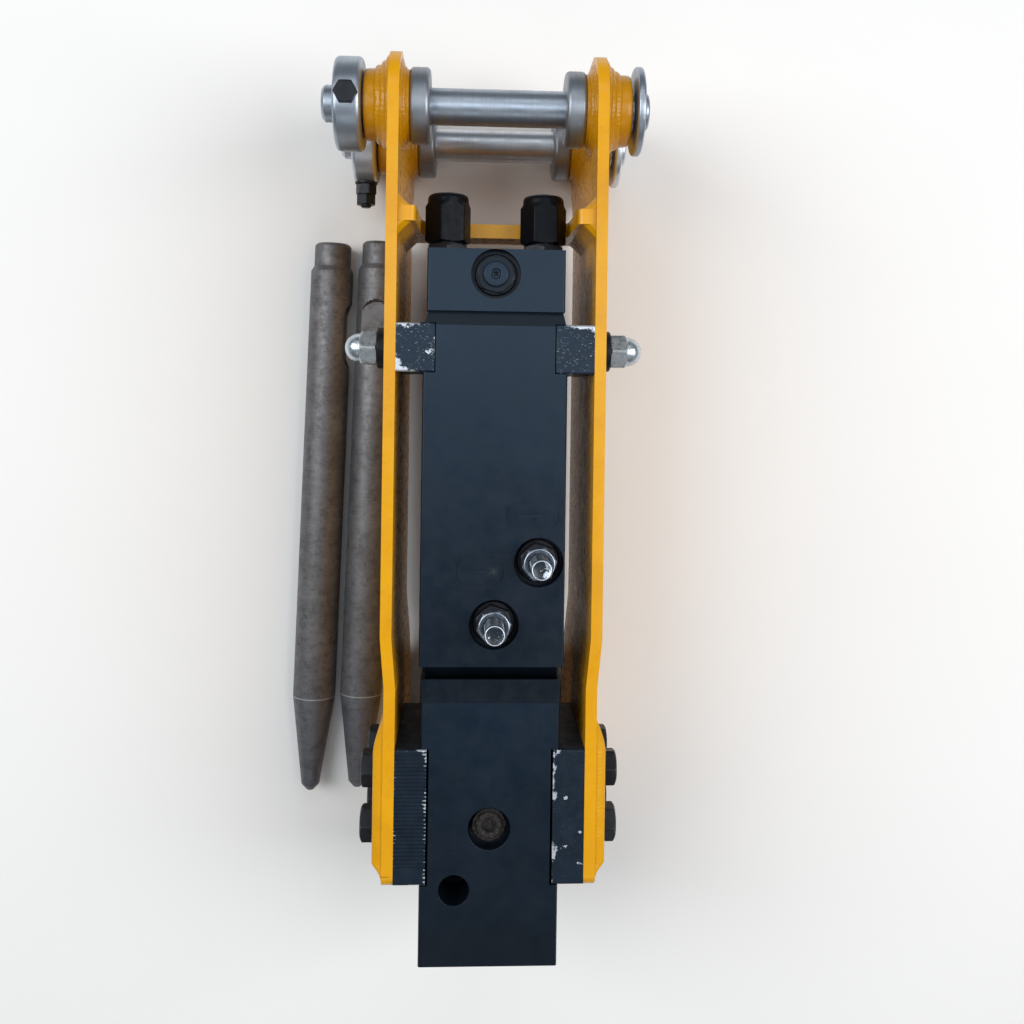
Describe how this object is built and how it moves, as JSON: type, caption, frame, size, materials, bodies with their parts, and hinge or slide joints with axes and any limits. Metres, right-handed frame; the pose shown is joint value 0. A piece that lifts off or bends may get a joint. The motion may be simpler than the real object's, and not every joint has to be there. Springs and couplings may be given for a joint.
{
  "type": "hydraulic breaker hammer",
  "caption": "Side-plate hydraulic breaker hammer lying on its back, with carrier pins, blanked hose ports, striking piston and valve inside, and loose moil point chisels beside it.",
  "frame": {"origin": "centre of the tool bore's mouth, in the front head's end face", "axes": "+Y up the tool axis towards the carrier pins, +Z out of the breaker's front face, which is up as it lies, +X to the right"},
  "size_m": [0.3104, 0.7248, 0.27],
  "materials": {
    "yellow_paint": "gloss",
    "black_paint": "satin",
    "worn_key_paint": "satin",
    "bare_steel": "satin",
    "ground_steel": "polished",
    "black_oxide": "satin",
    "zinc_plate": "gloss",
    "forged_steel": "matte",
    "bush_steel": "satin",
    "rubber": "matte"
  },
  "bodies": {
    "breaker": {"side_plate_right": "yellow_paint", "side_plate_left": "yellow_paint", "bolt_pads": "yellow_paint", "arm_bosses": "yellow_paint", "link_bosses": "yellow_paint", "boss_welds_right": "yellow_paint", "boss_welds_left": "yellow_paint", "arm_bush_right": "bare_steel", "arm_bush_left": "bare_steel", "link_bush_right": "bare_steel", "link_bush_left": "bare_steel", "cross_plate": "yellow_paint", "cross_plate_welds": "yellow_paint", "upper_key_right": "worn_key_paint", "upper_key_left": "worn_key_paint", "lower_key_right": "worn_key_paint", "lower_key_left": "worn_key_paint", "upper_key_studs": "zinc_plate", "upper_key_spacers": "black_oxide", "dome_nuts": "zinc_plate", "lower_key_bolts": "black_oxide", "front_head": "black_paint", "lower_tool_bush": "bush_steel", "upper_tool_bush": "bush_steel", "thrust_ring": "bush_steel", "bush_lock_plug": "black_oxide", "retainer_plug": "rubber", "cylinder": "black_paint", "dust_seal": "rubber", "stem_seals": "rubber", "seal_carrier": "ground_steel", "gas_seals": "rubber", "carrier_o_rings": "rubber", "valve_sleeve": "ground_steel", "valve_plug": "ground_steel", "back_head": "black_paint", "through_bolts": "black_oxide", "charging_valve": "black_oxide", "charging_valve_plug": "ground_steel", "adjuster_bodies": "black_oxide", "adjuster_nuts": "zinc_plate", "hose_adapters": "black_oxide", "adapter_seals": "rubber"},
    "arm_pin": {"arm_pin": "bare_steel", "arm_pin_collar": "bare_steel", "arm_pin_bolt": "black_oxide", "arm_pin_nuts": "black_oxide"},
    "link_pin": {"link_pin": "bare_steel", "link_pin_collar": "bare_steel", "link_pin_bolt": "black_oxide", "link_pin_nuts": "black_oxide"},
    "piston": {"piston": "ground_steel"},
    "valve_spool": {"valve_spool": "ground_steel"},
    "tool_retainer_pin": {"tool_retainer_pin": "ground_steel"},
    "upper_adjuster_stud": {"upper_adjuster_stud": "zinc_plate"},
    "lower_adjuster_stud": {"lower_adjuster_stud": "zinc_plate"},
    "port_cap_left": {"port_cap_left": "black_oxide"},
    "port_cap_right": {"port_cap_right": "black_oxide"},
    "chisel_inner": {"chisel_inner": "forged_steel"},
    "chisel_outer": {"chisel_outer": "forged_steel"}
  },
  "joints": [
    {"name": "arm_pin_spin", "type": "hinge", "parent": "breaker", "child": "arm_pin", "pos_m": [0, 0.6824, 0.021], "axis": [1, 0, 0], "continuous": true},
    {"name": "link_pin_spin", "type": "hinge", "parent": "breaker", "child": "link_pin", "pos_m": [0, 0.6824, -0.119], "axis": [1, 0, 0], "continuous": true},
    {"name": "piston_stroke", "type": "slide", "parent": "breaker", "child": "piston", "axis": [0, 1, 0], "range_m": [0, 0.045]},
    {"name": "valve_shift", "type": "slide", "parent": "breaker", "child": "valve_spool", "axis": [0, 1, 0], "range_m": [0, 0.012]},
    {"name": "retainer_pull", "type": "slide", "parent": "breaker", "child": "tool_retainer_pin", "axis": [0, 0, 1], "range_m": [0, 0.11]},
    {"name": "upper_adjuster_turn", "type": "hinge", "parent": "breaker", "child": "upper_adjuster_stud", "pos_m": [0.036, 0.316, 0.066], "axis": [0, 0, 1], "range_deg": [-360, 360]},
    {"name": "lower_adjuster_turn", "type": "hinge", "parent": "breaker", "child": "lower_adjuster_stud", "pos_m": [0.0015, 0.267, 0.066], "axis": [0, 0, 1], "range_deg": [-360, 360]},
    {"name": "left_cap_off", "type": "slide", "parent": "breaker", "child": "port_cap_left", "axis": [0, 1, 0], "range_m": [0, 0.03]},
    {"name": "right_cap_off", "type": "slide", "parent": "breaker", "child": "port_cap_right", "axis": [0, 1, 0], "range_m": [0, 0.03]},
    {"name": "inner_chisel_lift", "type": "slide", "parent": "breaker", "child": "chisel_inner", "axis": [0, 0, 1], "range_m": [0, 0.07]},
    {"name": "outer_chisel_lift", "type": "slide", "parent": "breaker", "child": "chisel_outer", "axis": [0, 0, 1], "range_m": [0, 0.2]}
  ]
}
